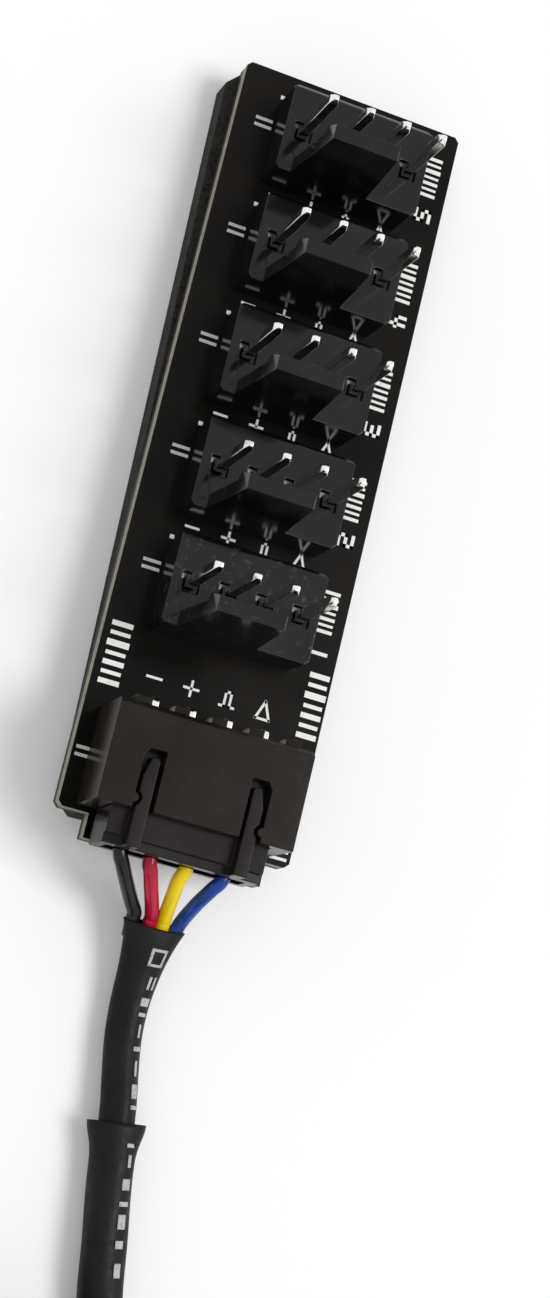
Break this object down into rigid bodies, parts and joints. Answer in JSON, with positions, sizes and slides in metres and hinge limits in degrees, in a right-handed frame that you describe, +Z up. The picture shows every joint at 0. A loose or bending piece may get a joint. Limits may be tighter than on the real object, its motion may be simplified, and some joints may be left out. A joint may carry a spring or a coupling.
{
  "type": "fan power splitter",
  "caption": "Slim splitter board with a row of pin outlets on top, an end-entry input connector, and a sleeved cable that ends in a power plug and a fan plug.",
  "frame": {"origin": "middle of the board with its tongue, at the underside of the foam pad", "axes": "+X across the board, +Y along the board away from the cable, +Z up out of the outlets"},
  "size_m": [0.0346, 0.1624, 0.0143],
  "materials": {
    "foam": "matte black foam",
    "board": "satin black solder mask with pale cut edges",
    "solder": "bright tin",
    "outlet_plastic": "satin black moulding",
    "socket_plastic": "satin black moulding",
    "plug_plastic": "satin black moulding",
    "pin_metal": "bright tin plate on brass",
    "contact_metal": "tin plate on brass",
    "black_wire": "glossy wire insulation",
    "red_wire": "glossy wire insulation",
    "yellow_wire": "glossy wire insulation",
    "blue_wire": "glossy wire insulation",
    "sleeve": "satin shrink sleeve",
    "jacket": "satin cable sleeve",
    "tie": "satin nylon"
  },
  "bodies": {
    "root": {"foam_pad": "foam", "board": "board", "solder_joints": "solder", "outlet_1_housing": "outlet_plastic", "outlet_2_housing": "outlet_plastic", "outlet_3_housing": "outlet_plastic", "outlet_4_housing": "outlet_plastic", "outlet_5_housing": "outlet_plastic", "outlet_1_pin_1": "pin_metal", "outlet_1_pin_2": "pin_metal", "outlet_1_pin_3": "pin_metal", "outlet_1_pin_4": "pin_metal", "outlet_2_pin_1": "pin_metal", "outlet_2_pin_2": "pin_metal", "outlet_2_pin_3": "pin_metal", "outlet_2_pin_4": "pin_metal", "outlet_3_pin_1": "pin_metal", "outlet_3_pin_2": "pin_metal", "outlet_3_pin_3": "pin_metal", "outlet_3_pin_4": "pin_metal", "outlet_4_pin_1": "pin_metal", "outlet_4_pin_2": "pin_metal", "outlet_4_pin_3": "pin_metal", "outlet_4_pin_4": "pin_metal", "outlet_5_pin_1": "pin_metal", "outlet_5_pin_2": "pin_metal", "outlet_5_pin_3": "pin_metal", "outlet_5_pin_4": "pin_metal", "input_socket": "socket_plastic", "input_pin_1": "pin_metal", "input_pin_2": "pin_metal", "input_pin_3": "pin_metal", "input_pin_4": "pin_metal", "input_plug": "plug_plastic", "contact_1": "contact_metal", "contact_2": "contact_metal", "contact_3": "contact_metal", "contact_4": "contact_metal", "wire_black": "black_wire", "wire_red": "red_wire", "wire_yellow": "yellow_wire", "wire_blue": "blue_wire", "first_sleeve": "sleeve", "cable_near": "jacket", "cable_coil": "jacket", "coil_tie": "tie", "cable_far": "jacket", "lead_black": "black_wire", "lead_red": "red_wire", "lead_yellow": "yellow_wire", "lead_blue": "blue_wire", "power_plug": "plug_plastic", "power_pin_black": "pin_metal", "power_pin_red": "pin_metal", "fan_plug": "plug_plastic", "fan_contact_yellow": "contact_metal", "fan_contact_blue": "contact_metal"}
  },
  "joints": []
}
